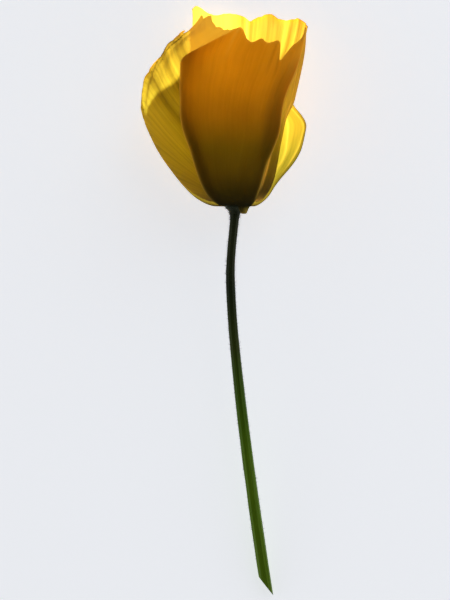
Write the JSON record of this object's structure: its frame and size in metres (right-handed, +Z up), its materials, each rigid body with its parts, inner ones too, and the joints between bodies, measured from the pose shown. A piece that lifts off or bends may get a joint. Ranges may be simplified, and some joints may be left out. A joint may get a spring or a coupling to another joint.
{
  "type": "poppy flower",
  "caption": "Cup-shaped yellow Iceland poppy, picked and lying down: ruffled overlapping petals round a pistil and stamens, on a long thin curved stem with a slanted cut.",
  "frame": {"origin": "On the surface that the flower lies on, under the middle of the whole flower's box.", "axes": "+Z up from the surface, +Y along the flower from the cut end of the stem to the mouth of the cup, +X to the right of someone who looks down on it with the mouth away from them."},
  "size_m": [0.0472, 0.1624, 0.0385],
  "materials": {
    "petal": "matte",
    "stem": "satin",
    "pistil": "matte",
    "stamen": "matte"
  },
  "bodies": {
    "root": {"stem": "stem", "petal_front_outer": "petal", "petal_back_outer": "petal", "petal_left_inner": "petal", "petal_right_inner": "petal", "pistil": "pistil", "stamen_01": "stamen", "stamen_02": "stamen", "stamen_03": "stamen", "stamen_04": "stamen", "stamen_05": "stamen", "stamen_06": "stamen", "stamen_07": "stamen", "stamen_08": "stamen", "stamen_09": "stamen", "stamen_10": "stamen", "stamen_11": "stamen", "stamen_12": "stamen", "stamen_13": "stamen", "stamen_14": "stamen", "stamen_15": "stamen", "stamen_16": "stamen", "stamen_17": "stamen", "stamen_18": "stamen", "stamen_19": "stamen", "stamen_20": "stamen", "stamen_21": "stamen", "stamen_22": "stamen", "stamen_23": "stamen", "stamen_24": "stamen", "stamen_25": "stamen", "stamen_26": "stamen", "stamen_27": "stamen", "stamen_28": "stamen", "stamen_29": "stamen", "stamen_30": "stamen", "stamen_31": "stamen", "stamen_32": "stamen", "stamen_33": "stamen", "stamen_34": "stamen", "stamen_35": "stamen", "stamen_36": "stamen", "stamen_37": "stamen", "stamen_38": "stamen", "stamen_39": "stamen", "stamen_40": "stamen", "stamen_41": "stamen", "stamen_42": "stamen"}
  },
  "joints": []
}
